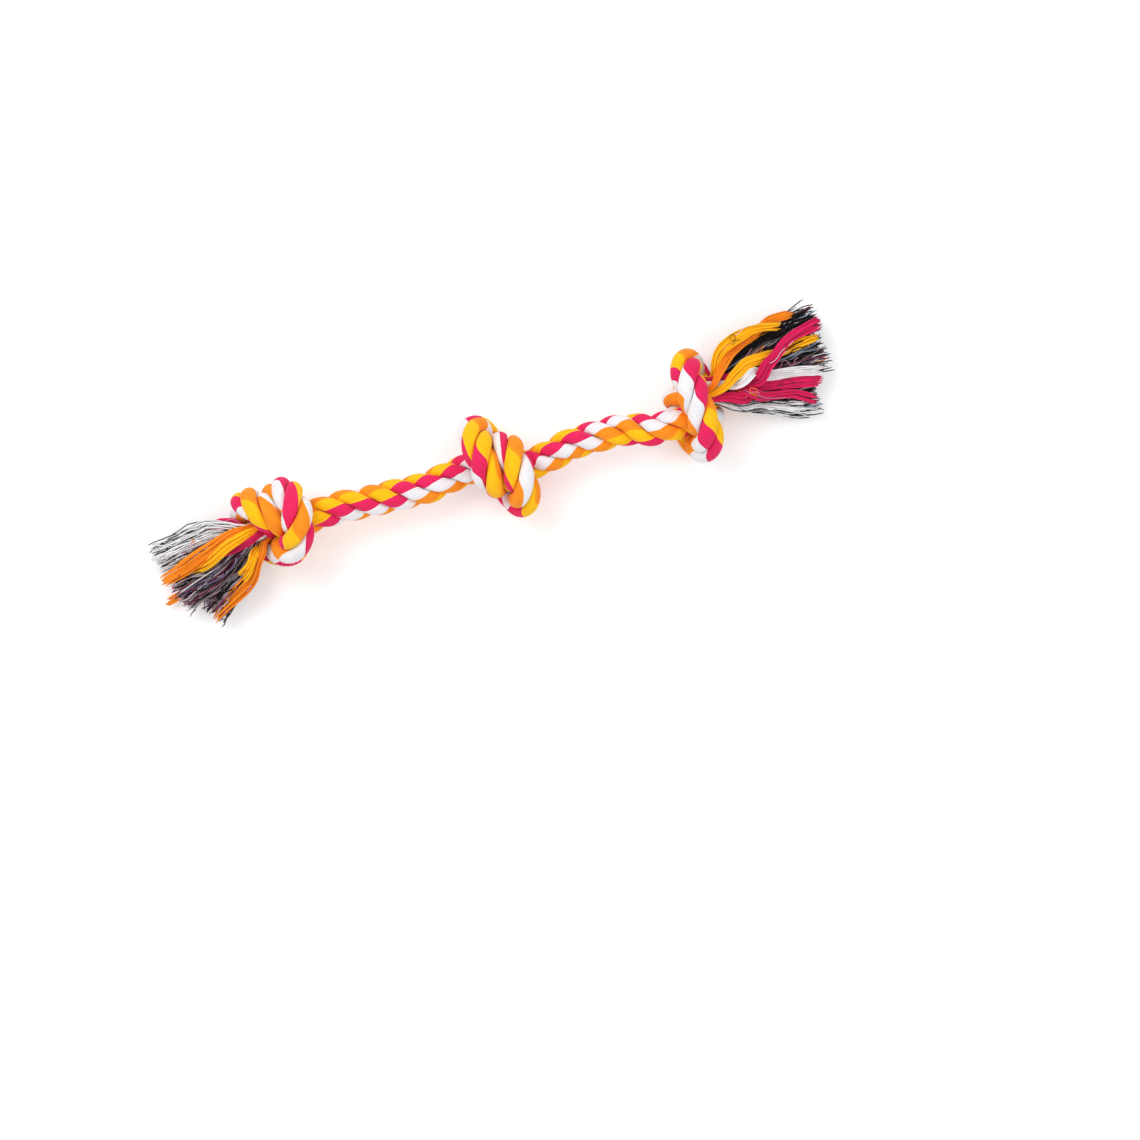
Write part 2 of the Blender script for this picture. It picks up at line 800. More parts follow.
@dataclass
class Strand:
    """One of the rope's three strands, which runs unbroken through all the knots.

    Attributes:
        number: 1, 2 or 3.
        points: The rope's centreline, finely spaced.
        normal: The direction at each point that the lay is measured from.
        side: The direction square to the normal and to the rope.
        crown_angle: How far the strand has gone round the rope at each point.
        phases: The colour that faces the normal at each point, in turns.
        plain: How evenly the yarns lie round the skin at each point: 1 on a plain stretch, 0 in a knot.
        diameter: The rope's diameter.
        yarns: Yarns round the strand, yarn_points the points round each, and yarn_rise how far each stands out.
        plain_flatness: How much less the yarns stand out on the plain stretches, as a share of yarn_rise.
        crown: How far the strand's back is from the rope's middle, as a share of the rope's diameter.
        root: How far its inner edge is, as such a share.
        spread: How far its sides reach round the rope, in radians.
        gap: The room between two turns of a knot.
        middle_reach: How far the strand's own middle is from the rope's, as a share of the rope's diameter.
        end_taper: The length over which an end is drawn in to end_share of its size.
        girth_points: Points at which the skin's girth is measured.
        skip: How far along the rope another turn of a knot begins, as a share of its diameter, and near how far off
            a turn can still press on the skin. press_passes is how often the skin is flattened.
    """

    number: int
    points: np.ndarray
    normal: np.ndarray
    side: np.ndarray
    crown_angle: np.ndarray
    phases: np.ndarray
    plain: np.ndarray
    diameter: float
    yarns: int = COVER_YARNS
    yarn_points: int = 4
    yarn_rise: float = 0.24 * MM
    plain_flatness: float = 0.45
    crown: float = 0.5
    root: float = 0.058
    spread: float = 1.01
    gap: float = 0.1 * MM
    middle_reach: float = 0.27
    end_taper: float = 9 * MM
    end_share: float = 0.45
    girth_points: int = 361
    skip: float = 1.5
    near: float = 2.2
    press_passes: int = 2

    def end_sizes(self) -> np.ndarray:
        """Return the size of each ring as a share of its full size: the two ends are drawn in."""
        reach = np.linspace(0.0, line_length(self.points), len(self.points))
        from_end = np.clip(np.minimum(reach, reach[::-1]) / self.end_taper, 0.0, 1.0)
        return self.end_share + (1 - self.end_share) * np.sqrt(1 - (1 - from_end) ** 2)

    def outline(self, u: np.ndarray) -> tuple[np.ndarray, np.ndarray]:
        """Return the skin's distance from the rope's middle, and its angle from the crown, at angles round it."""
        middle, half = (self.crown + self.root) / 2, (self.crown - self.root) / 2
        return self.diameter * (middle + half * np.cos(u)), self.spread * np.sin(u)

    def even_angles(self, turned: np.ndarray) -> np.ndarray:
        """Return the angles round the skin that share out its girth evenly."""
        u = np.linspace(-np.pi, np.pi, self.girth_points)
        radius, angle = self.outline(u)
        steps = np.hypot(np.diff(radius * np.cos(angle)), np.diff(radius * np.sin(angle)))
        girth = np.append(0.0, np.cumsum(steps))
        return np.interp(turned, TURN * (girth / girth[-1] - 0.5), u)

    def rings(self) -> np.ndarray:
        """Return the strand's skin, ring by ring, each ring closed by its first point."""
        columns = self.yarns * self.yarn_points
        colour = TURN * np.arange(columns + 1) / columns
        turned = (colour[None] - self.crown_angle[:, None] - TURN * self.phases[:, None] + np.pi) % TURN - np.pi
        u = turned + self.plain[:, None] * (self.even_angles(turned) - turned)
        yarn = np.abs(np.sin(np.pi * np.arange(columns + 1) / self.yarn_points))
        rise = self.yarn_rise * (1 - self.plain_flatness * self.plain[:, None])
        radius, aside = self.outline(u)
        radius += rise * (yarn[None] - 1) * (1 + np.cos(u)) / 2
        radius *= self.end_sizes()[:, None]
        angle = self.crown_angle[:, None] + aside
        out = np.cos(angle)[..., None] * self.normal[:, None] + np.sin(angle)[..., None] * self.side[:, None]
        return self.pressed(self.points[:, None] + radius[..., None] * out)

    def pressed(self, rings: np.ndarray) -> np.ndarray:
        """Flatten the skin where another turn of a knot or the floor lies against it.

        Args:
            rings: The skin's points, ring by ring.

        Returns:
            The skin, held on its own side of the plane half way to the other turn.
        """
        step = line_length(self.points) / (len(self.points) - 1)
        skip = math.ceil(self.skip * self.diameter / step)
        for i, p in enumerate(self.points):
            others = np.concatenate([self.points[: max(0, i - skip)], self.points[i + skip :]])
            others = others[np.linalg.norm(others - p, axis=1) < self.near * self.diameter]
            if not len(others):
                continue
            for _ in range(self.press_passes):
                ring = rings[i]
                far = np.linalg.norm(ring[:, None] - others[None], axis=2)
                nearest = others[far.argmin(axis=1)]
                between = unit(nearest - p)
                beyond = ((ring - (nearest + p) / 2) * between).sum(axis=1) + self.gap
                rings[i] = ring - np.maximum(beyond, 0)[:, None] * between
        rings[..., 2] = np.maximum(rings[..., 2], 0.0)
        return rings

    def middle_line(self) -> np.ndarray:
        """Return the strand's own centreline, which winds round the rope's."""
        out = np.cos(self.crown_angle)[:, None] * self.normal + np.sin(self.crown_angle)[:, None] * self.side
        return self.points + self.middle_reach * self.diameter * out

    def build(self, material: bpy.types.Material) -> bpy.types.Object:
        """Make the strand.

        Args:
            material: The cotton of its cover.

        Returns:
            The strand.
        """
        work = bmesh.new()
        work.loops.layers.uv.new(YARN_MAP)
        rolled_grid(work, self.rings())
        name = f"strand_{self.number}"
        piece = finished_piece(f"laid_{name}", work, material)
        set_yarn_map(piece, yarn_map(piece) * np.array([1.0, line_length(self.points)], dtype=np.float32))
        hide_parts(name)
        return piece


@dataclass
class LaidRope:
    """The three strands laid round the knotted centreline.

    Attributes:
        rope: The knotted rope.
        sections: Its sections.
        ring_step: The distance between two rings of a strand's skin.
        strand_diameter: The thickness of one strand.
        colour_turns: For each strand, places along the rope as shares of it, each with the colour that faces the
            normal there, in turns. They gain about one whole turn per lay on a plain stretch, so that the yarns run
            with the rope there.
        plain_stops: Where the plain stretches between the knots begin and end, as shares of the rope, each with how
            plain the rope is there.
        smoothing: Passes of smoothing over the centreline.
    """

    rope: KnottedRope
    sections: Sections
    ring_step: float = 1.15 * MM
    strand_diameter: float = 10 * MM
    colour_turns: tuple[tuple[tuple[float, float], ...], ...] = (
        (
            (0.0, 0.5), (0.045, 0.4), (0.085, 0.52), (0.092, 0.66), (0.1, 0.75), (0.19, 0.93), (0.197, 0.98),
            (0.205, 1.12), (0.213, 1.25), (0.268, 1.55), (0.295, 2.05), (0.349, 3.3), (0.376, 3.8), (0.438, 3.68),
            (0.445, 3.75), (0.53, 3.34), (0.54, 3.42), (0.546, 3.48), (0.551, 3.55), (0.558, 3.66), (0.564, 3.6),
            (0.577, 3.36), (0.595, 3.23), (0.617, 3.36), (0.644, 3.86), (0.698, 5.21), (0.752, 6.21), (0.779, 6.71),
            (0.858, 6.55), (0.875, 6.66), (0.885, 6.72), (1.0, 7.03),
        ),
        (
            (0.0, 0.17), (0.072, -0.06), (0.188, 0.24), (0.205, 0.45), (0.213, 0.6), (0.222, 0.6), (0.25, 0.54),
            (0.277, 1.04), (0.332, 2.32), (0.386, 3.59), (0.42, 3.97), (0.432, 4.1), (0.573, 4.37), (0.583, 4.43),
            (0.594, 4.58), (0.652, 4.3), (0.679, 4.8), (0.733, 6.04), (0.76, 6.54), (0.85, 6.56), (0.858, 6.63),
            (0.866, 6.75), (0.893, 6.4), (0.903, 6.5), (0.922, 6.68), (1.0, 6.7),
        ),
        (
            (0.0, -0.17), (0.054, 0.12), (0.062, 0.12), (0.105, 0.25), (0.17, 0.45), (0.206, 0.66), (0.215, 0.74),
            (0.231, 0.84), (0.259, 1.81), (0.313, 2.96), (0.367, 4.24), (0.394, 4.74), (0.415, 4.49), (0.455, 4.08),
            (0.474, 4.33), (0.549, 3.98), (0.557, 4.13), (0.562, 4.2), (0.569, 4.29), (0.58, 4.27), (0.635, 4.33),
            (0.662, 4.83), (0.716, 6.32), (0.743, 6.82), (0.838, 7.04), (0.845, 7.14), (0.856, 7.47), (0.876, 7.16),
            (0.885, 7.32), (0.903, 7.58), (1.0, 7.37),
        ),
    )
    plain_stops: tuple[tuple[float, float], ...] = (
        (0.25, 0.0), (0.262, 1.0), (0.372, 1.0), (0.385, 0.0), (0.64, 0.0), (0.65, 1.0), (0.735, 1.0), (0.75, 0.0),
    )
    smoothing: int = 4

    def strands(self) -> list[Strand]:
        """Return the three strands, laid round the rope."""
        count = round(self.sections.length / self.ring_step)
        points = respaced(self.rope.route(), count + 1)
        for _ in range(self.smoothing):
            straighten(points, 0.5)
        share = np.linspace(0.0, 1.0, len(points))
        marks = np.linspace(0.0, 1.0, len(self.sections.at))
        along = unit(np.gradient(points, axis=0))
        normal = np.stack([np.interp(share, marks, self.sections.normal[:, k]) for k in range(3)], 1)
        normal = unit(normal - (normal * along).sum(axis=1, keepdims=True) * along)
        side = np.cross(along, normal)
        lay = self.rope.lay_angle(share * self.sections.length, self.sections.length)
        plain = np.interp(share, *np.array(self.plain_stops).T)
        laid = []
        for number in (1, 2, 3):
            crown = lay + TURN * (number - 1) / 3
            phases = np.interp(share, *np.array(self.colour_turns[number - 1]).T)
            straighten(phases, 0.5)
            laid.append(Strand(number, points, normal, side, crown, phases, plain, self.rope.diameter))
        return laid

    def build(self) -> None:
        """Make the three strands and say how each runs."""
        cover = CottonCover().material()
        for strand in self.strands():
            piece = strand.build(cover)
            line = strand.middle_line()
            line_length(line)
            log.info("%s: %d faces, %.3f m long", piece.name, len(piece.data.polygons), line_length(line))


# -------------------------------------------------------------------------------------- the tassels


@dataclass(frozen=True)
class Group:
    """One group of a tassel's yarns.

    Attributes:
        strand: The strand it comes from.
        colour: Its colour.
        stations: The places that it passes: how far along the tassel as a share of its length, then how far across
            from the rope's end and how high over the floor as shares of the rope's diameter.
        widths: Its width once it is free and at its tip, in millimetres.
        thick: Its thickness in millimetres.
        yarns: The number of its yarns.
        yarn_radius: The radius of a yarn in millimetres.
        looseness: How far its yarns wander, in millimetres.
        fray: How unevenly its yarns are cut, in millimetres.
        twist: The turn of the group about itself from root to tip, and how far it sways to each side, in degrees.
    """

    strand: int
    colour: YarnColour
    stations: tuple[tuple[float, float, float], ...]
    widths: tuple[float, float] = (6.0, 7.0)
    thick: float = 2.2
    yarns: int = 19
    yarn_radius: float = 0.5
    looseness: float = 0.35
    fray: float = 3.2
    twist: float = 20.0

    @property
    def ribbon(self) -> bool:
        """Return whether the yarns hold together as a ribbon."""
        return self.looseness < 0.5


O, Y, M, W, C = YarnColour


def spread_out(
    strand: int,
    colour: YarnColour,
    stations: tuple[tuple[float, float, float], ...],
    widths: tuple[float, float],
    thick: float,
    yarns: int,
) -> Group:
    """Return a group of fine yarns that have spread apart.

    Args:
        strand: The strand it comes from.
        colour: Its colour.
        stations: The places that it passes.
        widths: Its two widths.
        thick: Its thickness.
        yarns: The number of its yarns.

    Returns:
        The group.
    """
    radius, looseness = (0.35, 1.5) if colour is YarnColour.CORE else (0.32, 1.1)
    return Group(strand, colour, stations, widths, thick, yarns, radius, looseness, 5.0, 0.0)


LEFT_GROUPS = (
    Group(1, O, ((0.25, 0.22, 1.65), (0.45, -0.04, 1.56), (0.7, -0.24, 1.33), (0.97, -0.39, 1.02)), (7, 9)),
    Group(1, Y, ((0.13, 0.02, 1.72), (0.28, -0.14, 1.6), (0.5, -0.28, 1.38), (0.77, -0.33, 0.95)), (7, 7)),
    Group(1, M, ((0.25, -0.2, 1.5), (0.45, -0.53, 1.1), (0.69, -0.68, 0.6), (0.92, -0.83, 0.42)), (4, 3), yarns=9),
    spread_out(1, W, ((0.24, 0.42, 1.3), (0.57, 0.42, 1.3), (0.98, 0.32, 0.95)), (6, 9), 5, 46),
    spread_out(1, C, ((0.33, -0.48, 1.15), (0.57, -0.68, 0.95), (0.9, -0.88, 0.7)), (12, 20), 11, 130),
    Group(2, O, ((0.22, -1.28, 1.3), (0.42, -1.58, 1.0), (0.63, -1.93, 0.62)), (7, 7.5)),
    Group(2, Y, ((0.1, -0.83, 1.68), (0.22, -1.18, 1.38)), (7, 6)),
    Group(2, M, ((0.15, -1.18, 1.1), (0.3, -1.48, 0.7)), (4, 4), yarns=11),
    spread_out(2, W, ((0.33, 0.26, 1.4), (0.62, 0.16, 1.15), (0.97, 0.02, 0.85)), (6, 8), 5, 40),
    spread_out(2, C, ((0.22, -0.73, 1.1), (0.4, -1.18, 0.88), (0.68, -1.58, 0.6)), (12, 20), 11, 130),
    Group(3, O, ((0.25, -0.4, 0.85), (0.51, -0.63, 0.6), (0.81, -0.78, 0.42), (1.03, -1.05, 0.28)), (4, 4), yarns=11),
    Group(3, Y, ((0.16, -0.7, 0.7), (0.28, -1.3, 0.75)), (6, 5)),
    Group(3, M, ((0.12, 0.72, 1.42), (0.21, 0.72, 1.35), (0.36, 0.66, 1.22)), (6, 4)),
    spread_out(3, W, ((0.22, 0.56, 1.45), (0.57, 0.66, 1.2), (0.98, 0.56, 0.85)), (6, 9), 5, 46),
    spread_out(3, C, ((0.3, 0.4, 1.0), (0.47, 0.36, 0.85), (0.93, 0.32, 0.55)), (12, 18), 11, 110),
)

RIGHT_GROUPS = (
    Group(1, O, ((0.11, 0.46, 1.5), (0.21, 0.8, 1.45), (0.31, 1.1, 1.35), (0.49, 1.2, 1.25), (0.8, 1.4, 1.1)), (6, 4)),
    Group(1, Y, ((0.18, 0.0, 1.7), (0.31, 0.2, 1.6), (0.44, 0.4, 1.45), (0.62, 0.5, 1.25), (0.93, 0.48, 1.0)), (7, 5)),
    Group(1, M, ((0.26, -0.35, 1.4), (0.44, -0.4, 1.25), (0.67, -0.55, 1.0), (0.86, -0.8, 0.8)), (6, 5)),
    spread_out(
        1, W, ((0.12, -0.7, 1.35), (0.29, -0.7, 1.1), (0.43, -0.95, 0.9), (0.62, -1.35, 0.7), (0.79, -1.55, 0.5)),
        (6, 7), 4, 36,
    ),
    spread_out(1, C, ((0.38, -0.02, 1.02), (0.58, 0.05, 0.9), (0.96, 0.1, 0.62)), (12, 20), 11, 130),
    Group(2, O, ((0.29, -0.6, 0.55), (0.52, -0.8, 0.4), (0.75, -0.9, 0.2)), (5, 4), yarns=11),
    Group(2, Y, ((0.2, 0.1, 0.7), (0.32, 0.75, 0.85), (0.46, 1.1, 1.0), (0.64, 1.15, 1.05)), (6, 4)),
    Group(2, M, ((0.21, -0.45, 1.1), (0.42, -0.7, 1.05), (0.61, -0.9, 0.8), (0.76, -1.3, 0.55)), (6, 5)),
    spread_out(2, W, ((0.24, -0.75, 0.9), (0.43, -1.05, 0.6), (0.56, -1.4, 0.4), (0.71, -1.55, 0.3)), (6, 8), 4, 36),
    spread_out(2, C, ((0.35, -0.7, 0.8), (0.53, -1.0, 0.65), (0.8, -1.05, 0.45)), (12, 20), 10, 110),
    Group(3, O, ((0.29, 0.4, 0.75), (0.49, 0.7, 0.5), (0.75, 0.8, 0.3)), (5, 4), yarns=11),
    Group(
        3, Y, ((0.11, 0.96, 1.62), (0.21, 1.16, 1.58), (0.36, 1.26, 1.5), (0.53, 1.3, 1.32), (0.68, 1.3, 1.15)), (8, 5)
    ),
    Group(
        3, M, ((0.22, 0.1, 1.6), (0.38, 0.15, 1.55), (0.56, 0.4, 1.4), (0.74, 0.75, 1.25), (0.99, 0.9, 1.05)), (6, 6)
    ),
    Group(3, W, ((0.36, -0.25, 1.35), (0.61, -0.3, 1.15), (0.88, -0.55, 0.9)), (5, 5)),
    spread_out(3, C, ((0.2, 0.4, 1.2), (0.43, 0.7, 1.05), (0.66, 0.95, 0.95), (0.98, 0.98, 0.75)), (12, 20), 11, 130),
)


@dataclass(frozen=True)
class Spread:
    """How the groups of a tassel come out of the rope's end and settle on each other.

    Attributes:
        cover_reach: How far a cover group's cell is from the rope's middle, and cover_cell its radius, both as
            shares of the rope's radius. core_reach and core_cell are the same for a core.
        cover_radius: The radius of a free cover group, and core_radius that of a free core.
        grow: The length over which a group reaches its full radius.
        straight: How far it goes straight out of the rope's end.
        yarn_gap: The room between the rope's end and its groups.
        group_gap: The room between two groups.
        step: The spacing of the points on a group's way.
        shaping: Passes of smoothing before the groups meet.
        drawn_rounds: Rounds in which the groups are drawn to their stations.
        rest_rounds: Rounds in which they come to rest, at the most.
        pull: How strongly a group is drawn, over free_steps points from its root.
        window: Shares of the rope's diameter along it between which a turn of the knot can lie in the way.
        near_margin: How much more than their least distance two points are apart and still count as near.
        push: The share of an overlap that each of two groups moves, and turn_push that share at a turn of the knot.
        drawn_bend: How far the groups straighten in a round while they are drawn, and rest_bend at rest.
        first_rounds: Rounds in which the near points are found each time; later it is every recheck rounds.
        rest_overlap: The overlap at which they are at rest, as a share of group_gap.
    """

    cover_reach: float = 0.78
    cover_cell: float = 0.178
    core_reach: float = 0.34
    core_cell: float = 0.22
    cover_radius: float = 3.0 * MM
    core_radius: float = 4.8 * MM
    grow: float = 24 * MM
    straight: float = 3 * MM
    yarn_gap: float = 0.25 * MM
    group_gap: float = 0.5 * MM
    step: float = 1.6 * MM
    shaping: int = 12
    drawn_rounds: int = 260
    rest_rounds: int = 400
    pull: float = 0.04
    free_steps: int = 10
    window: tuple[float, float] = (1.3, 14.0)
    near_margin: float = 4 * MM
    push: float = 0.4
    turn_push: float = 0.8
    drawn_bend: float = 0.4
    rest_bend: float = 0.04
    first_rounds: int = 40
    recheck: int = 5
    rest_overlap: float = 0.25


class Settling:
    """The groups of one tassel while they are laid side by side and over each other."""

    def __init__(self, tassel: "Tassel", ways: list[np.ndarray], radii: list[np.ndarray]) -> None:
        """Start with each group on its own way.

        Args:
            tassel: The tassel.
            ways: The way of each group.
            radii: The radius of each group at the points of its way.
        """
        self.rules = tassel.rules
        self.ends = np.cumsum([len(way) for way in ways])[:-1]
        self.points = np.concatenate(ways)
        self.goal = self.points.copy()
        self.radii = np.concatenate(radii)
        index = np.concatenate([np.arange(len(way)) for way in ways])
        last = np.concatenate([np.arange(len(way)) == len(way) - 1 for way in ways])
        self.free = index > 0
        self.inner = np.where(self.free & ~last)[0]
        self.pull = self.rules.pull * np.minimum(index / self.rules.free_steps, 1.0)[:, None]
        group = np.repeat(np.arange(len(ways)), [len(way) for way in ways])
        one, other = np.triu_indices(len(self.points), 1)
        apart = group[one] != group[other]
        self.one, self.other = one[apart], other[apart]
        self.root, self.face, self.end_radius = tassel.root, tassel.face, tassel.end_radius
        self.turns, self.turn_radii = tassel.turns_beside()
        self.near = (self.one, self.other)

    def bend(self, share: float) -> None:
        """Straighten every group a little."""
        i = self.inner
        self.points[i] += share * ((self.points[i - 1] + self.points[i + 1]) / 2 - self.points[i])

    def find_near(self) -> None:
        """Note the pairs of points that may soon press on each other."""
        apart = np.linalg.norm(self.points[self.other] - self.points[self.one], axis=1)
        least = self.radii[self.one] + self.radii[self.other] + self.rules.group_gap
        near = apart < least + self.rules.near_margin
        self.near = (self.one[near], self.other[near])

    def part(self) -> float:
        """Move apart whatever presses on each other.

        Returns:
            How far the groups overlapped at most.
        """
        rules, points, radii = self.rules, self.points, self.radii
        one, other = self.near
        moves = np.zeros_like(points)
        between = points[other] - points[one]
        apart = np.linalg.norm(between, axis=1)
        over = radii[one] + radii[other] + rules.group_gap - apart
        close = over > 0
        deepest = over.max(initial=0.0)
        push = between[close] * (rules.push * over[close] / apart[close])[:, None]
        for k in range(3):
            moves[:, k] += np.bincount(other[close], push[:, k], len(points))
            moves[:, k] -= np.bincount(one[close], push[:, k], len(points))
        between = points[:, None] - self.turns[None]
        apart = np.linalg.norm(between, axis=2)
        over = np.maximum(radii[:, None] + self.turn_radii[None] + rules.group_gap - apart, 0.0)
        deepest = max(deepest, over.max())
        moves += (between * (rules.turn_push * over / apart)[..., None]).sum(axis=1)
        points[self.free] += moves[self.free]
        points[self.free, 2] = np.maximum(points[self.free, 2], radii[self.free])
        between = points - self.root
        ahead = between @ self.face
        aside = np.linalg.norm(between - ahead[:, None] * self.face, axis=1)
        out = self.free & (aside < self.end_radius + radii) & (ahead < radii + rules.yarn_gap)
        points[out] += (radii[out] + rules.yarn_gap - ahead[out])[:, None] * self.face
        return float(deepest)

    def settle(self) -> list[np.ndarray]:
        """Draw the groups to their stations, let them rest, and return their ways."""
        rules = self.rules
        for turn in range(rules.drawn_rounds):
            self.bend(rules.drawn_bend)
            self.points[self.free] += (self.pull * (self.goal - self.points))[self.free]
            if turn < rules.first_rounds or turn % rules.recheck == 0:
                self.find_near()
            self.part()
        for turn in range(rules.rest_rounds):
            self.bend(rules.rest_bend)
            if turn % rules.recheck == 0:
                self.find_near()
            if self.part() < rules.rest_overlap * rules.group_gap:
                break
        return np.split(self.points, self.ends)


@dataclass(frozen=True)
class Bundle:
    """How the yarns of a group lie in it, in shares of half its width and half its thickness.

    Attributes:
        lower_width: How far out a ribbon's lower yarns reach, and row_height how far each row is from its middle.
        folds: How many folds a ribbon has across half its width.
        fold_shift: How far a fold carries its yarns aside, and fold_rise how far up and down.
        edge_thinning: How much thinner a ribbon is at its edges.
        ribbon_stray: How far its yarns stray from root to tip, across it and up, and loose_stray that of others.
        swells: How many times a ribbon swells along it, and ripple by how much.
        sways: How many times a group sways about itself.
        wild_share: The share of loose yarns that wave further, and wild how many times as far.
        waves: The waves of a yarn: how many to its length, each with its size as a share of the looseness.
    """

    lower_width: float = 0.9
    row_height: float = 0.6
    folds: float = 1.35
    fold_shift: float = 0.08
    fold_rise: float = 0.42
    edge_thinning: float = 0.45
    ribbon_stray: tuple[float, float] = (0.1, 0.25)
    loose_stray: tuple[float, float] = (0.35, 0.35)
    swells: float = 1.7
    ripple: float = 0.12
    sways: float = 1.2
    wild_share: float = 0.18
    wild: float = 2.2
    waves: tuple[tuple[float, float], ...] = ((1.3, 0.77), (2.9, 0.36), (6.3, 0.24))


@dataclass(frozen=True)
class Strays:
    """How the stray threads of a tassel lie.

    Attributes:
        radius: The radius of a thread, sides its number of sides and points the points on it.
        lengths: Its shortest and greatest length in millimetres, and longest its greatest as a share of the group
            under it.
        window: Shares of that group between which it lies.
        heading: How far it points away from the group, in radians, and swing how far it swings about that.
        waves: The fewest and the most times that it swings.
        aside: How far aside it starts, as a share of half the group's width.
        lifts: The least and the greatest height over the group's yarns in millimetres, and rise what its tip adds.
        far_end: The share of the group's way that no thread passes.
    """

    radius: float = 0.19 * MM
    sides: int = 5
    points: int = 40
    lengths: tuple[float, float] = (8, 26)
    longest: float = 0.6
    window: tuple[float, float] = (0.2, 0.95)
    heading: float = 0.25
    swing: float = 0.7
    waves: tuple[float, float] = (0.6, 2.0)
    aside: float = 0.8
    lifts: tuple[float, float] = (0.4, 0.9)
    rise: float = 0.7
    far_end: float = 0.99


@dataclass
class Tassel:
    """The frayed yarns at one end of the rope.

    Attributes:
        side: Which end it is.
        groups: Its groups of yarns.
        rope: The rope.
        sections: The rope's sections.
        length: How far the tassel reaches beyond the rope's end.
        seed: The start of its random numbers.
        rules: How its groups spread.
        tuck: How far its yarns go back into the rope's end.
        stray_threads: How many threads lie loose on it.
        topmost: How many of its groups carry them, counted from the highest.
        bundle: How the yarns of its groups lie, and strays how its stray threads do.
        band_points: Points on a group's finer way, and band_smoothing the passes of smoothing over it.
        yarn_points: Points on a yarn, and ribbon_sides and loose_sides the sides of a yarn in either kind of group.
        root_width: A group's width and thickness where it leaves the rope.
    """

    side: Side
    groups: tuple[Group, ...]
    rope: KnottedRope
    sections: Sections
    length: float
    seed: int
    rules: Spread = Spread()
    tuck: float = 6 * MM
    stray_threads: int = 14
    topmost: int = 9
    bundle: Bundle = Bundle()
    strays: Strays = Strays()
    band_points: int = 200
    band_smoothing: int = 40
    yarn_points: int = 30
    ribbon_sides: int = 6
    loose_sides: int = 4
    root_width: float = 2.6 * MM

    def __post_init__(self) -> None:
        """Find the end of the rope."""
        last = 0 if self.side is Side.LEFT else len(self.sections.at) - 1
        self.last = last
        self.outward = -1 if self.side is Side.LEFT else 1
        self.root = self.sections.at[last]
        self.face = self.sections.along[last] * self.outward
        self.end_radius = float(self.sections.radii[last])

    def turns_beside(self) -> tuple[np.ndarray, np.ndarray]:
        """Return the turns of the knot that the groups must go round, and their radii."""
        near, far = (share * self.rope.diameter for share in self.rules.window)
        step = self.sections.length / (len(self.sections.at) - 1)
        from_end = np.abs(np.arange(len(self.sections.at)) - self.last)
        beside = (from_end > math.ceil(near / step)) & (from_end < math.ceil(far / step))
        return self.sections.at[beside], self.sections.radii[beside]

    def way(self, group: Group) -> tuple[np.ndarray, np.ndarray]:
        """Return a group's way before it meets the others, and its radius at each point of the way."""
        rules, length = self.rules, self.sections.length
        crown = self.rope.lay_angle(length * (self.last > 0), length) + TURN * (group.strand - 1) / 3
        if group.colour is YarnColour.CORE:
            reach, cell, full, angle = rules.core_reach, rules.core_cell, rules.core_radius, crown
        else:
            place = list(YarnColour).index(group.colour) - 1.5
            reach, cell, full = rules.cover_reach, rules.cover_cell, rules.cover_radius
            angle = crown + TURN / 12 * place
        out = math.cos(angle) * self.sections.normal[self.last] + math.sin(angle) * self.sections.side[self.last]
        at = self.root + reach * self.end_radius * out
        points = [at + self.face * rules.yarn_gap, at + self.face * (rules.yarn_gap + rules.straight)]
        for along, across, up in group.stations:
            x = self.root[0] + self.outward * along * self.length
            points.append(np.array([x, self.root[1] + across * self.rope.diameter, up * self.rope.diameter]))
        line = np.array(points)
        way = respaced(line, math.floor(line_length(line) / rules.step + 0.5) + 1)
        for _ in range(rules.shaping):
            straighten(way, 0.5)
        travelled = np.concatenate([[0.0], np.cumsum(np.linalg.norm(np.diff(way, axis=0), axis=1))])
        grown = smooth_step(np.minimum(travelled / rules.grow, 1.0))
        return way, cell * self.end_radius + (full - cell * self.end_radius) * grown

    def ways(self) -> list[np.ndarray]:
        """Return the way of each group once all have settled on each other."""
        ways, radii = zip(*[self.way(group) for group in self.groups])
        return Settling(self, list(ways), list(radii)).settle()

    def level_band(self, way: np.ndarray) -> tuple[np.ndarray, np.ndarray, np.ndarray]:
        """Return a finer way that starts inside the rope, with the level and the upward direction across it."""
        fine = respaced(np.concatenate([(way[0] - self.tuck * self.face)[None], way]), self.band_points)
        for _ in range(self.band_smoothing):
            straighten(fine, 0.5)
        return fine, *level_frames(fine)

    def places_across(self, group: Group, random: np.random.Generator) -> tuple[np.ndarray, np.ndarray]:
        """Place a group's yarns across it.

        Args:
            group: The group.
            random: The random numbers.

        Returns:
            The places of the yarns at the rope's end and at the tip, as shares of half the group's width and of
            half its thickness.
        """
        n, rules = group.yarns, self.bundle
        if group.ribbon:
            upper, lower, height = (n + 1) // 2, rules.lower_width, rules.row_height
            a = np.concatenate([np.linspace(-1, 1, upper), np.linspace(-lower, lower, n - upper)])
            b = np.concatenate([np.full(upper, height), np.full(n - upper, -height)])
            fold = TURN * (rules.folds * a + random.uniform())
            b = b * (1 - rules.edge_thinning * a * a) + rules.fold_rise * np.cos(fold)
            a = a - rules.fold_shift * np.sin(fold)
            stray = rules.ribbon_stray
        else:
            r, w = np.sqrt(random.uniform(0, 1, n)), random.uniform(0, TURN, n)
            a, b = r * np.cos(w), r * np.sin(w)
            stray = rules.loose_stray
        root = np.array([a, b])
        return root, np.array([place + random.normal(0, size, n) for place, size in zip(root, stray)])

